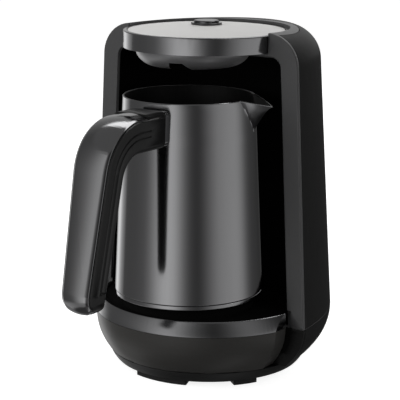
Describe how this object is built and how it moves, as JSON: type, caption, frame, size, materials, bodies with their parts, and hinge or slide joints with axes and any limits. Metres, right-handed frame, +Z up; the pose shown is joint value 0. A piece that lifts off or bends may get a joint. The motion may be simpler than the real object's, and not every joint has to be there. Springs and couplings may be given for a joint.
{
  "type": "electric turkish coffee maker",
  "caption": "Countertop coffee maker with an arch-shaped housing, a hot plate, a sensing head with a push button, and a conical pot with a hooked handle that pulls out to the front.",
  "frame": {"origin": "the point of the table under the pot's axis, which is also the middle of the whole object's outline", "axes": "+Z up, -Y the front where the pot and its handle come out, +X to the right for someone who faces the front"},
  "size_m": [0.1596, 0.2402, 0.2229],
  "materials": {
    "housing_black": "fine satin, faint vertical grain on the sides",
    "arch_black": "smooth satin",
    "gloss_black": "polished",
    "bowl_black": "soft satin",
    "base_black": "matt",
    "lid_grey": "satin, light grey",
    "dark_steel": "dark polished coating",
    "bright_steel": "brushed",
    "handle_black": "gloss",
    "handle_side_black": "satin",
    "plate_aluminium": "dark cast, machined top",
    "element_steel": "dull",
    "spring_steel": "bright wire",
    "screw_steel": "plated",
    "board_green": "solder mask",
    "part_black": "moulded",
    "part_blue": "sleeve",
    "led_white": "clear lens",
    "terminal_white": "moulded",
    "cable_grey": "sheath",
    "lead_red": "heat-proof sleeve",
    "foot_rubber": "matt",
    "window_dark": "smoked lens"
  },
  "bodies": {
    "machine": {"bottom_cover": "base_black", "rubber_feet": "foot_rubber", "cover_screws": "screw_steel", "front_bowl": "bowl_black", "base_band": "gloss_black", "base_deck": "base_black", "lower_rear_shell": "housing_black", "lower_trim_left": "arch_black", "lower_trim_right": "arch_black", "heater_plate": "plate_aluminium", "heater_pan": "bright_steel", "heating_element": "element_steel", "probe_spring": "spring_steel", "thermal_fuse": "terminal_white", "bezel_arch": "arch_black", "rear_shell": "housing_black", "alcove_liner": "base_black", "head_ring": "gloss_black", "head_tray": "base_black", "lid": "lid_grey", "button_ring": "dark_steel", "button_spring": "spring_steel", "spill_shield": "gloss_black", "sensor_window": "window_dark", "foam_sensor": "part_black", "control_board": "board_green", "button_switch": "part_black", "indicator_led": "led_white", "buzzer": "part_black", "board_screws": "screw_steel", "power_board": "board_green", "relay": "part_blue", "transformer": "part_black", "capacitor": "part_blue", "mains_terminal": "terminal_white", "wire_loom": "cable_grey", "heater_leads": "lead_red", "cord_gland": "part_black"},
    "pot": {"pot_body": "dark_steel", "pot_base": "dark_steel", "handle_core": "handle_side_black", "handle_cover": "handle_black", "handle_bracket": "bright_steel", "handle_screw": "screw_steel"},
    "button": {"button_cap": "gloss_black"},
    "probe": {"temperature_probe": "plate_aluminium"}
  },
  "joints": [
    {"name": "pot_slide", "type": "slide", "parent": "machine", "child": "pot", "axis": [0, -1, 0], "range_m": [0, 0.16]},
    {"name": "button_press", "type": "slide", "parent": "machine", "child": "button", "axis": [0, 0, -1], "range_m": [0, 0.001], "stiffness_N_per_m": 600, "deforming": ["button_spring"]},
    {"name": "probe_press", "type": "slide", "parent": "machine", "child": "probe", "axis": [0, 0, -1], "range_m": [0, 0.0015], "stiffness_N_per_m": 400, "deforming": ["probe_spring"]}
  ]
}
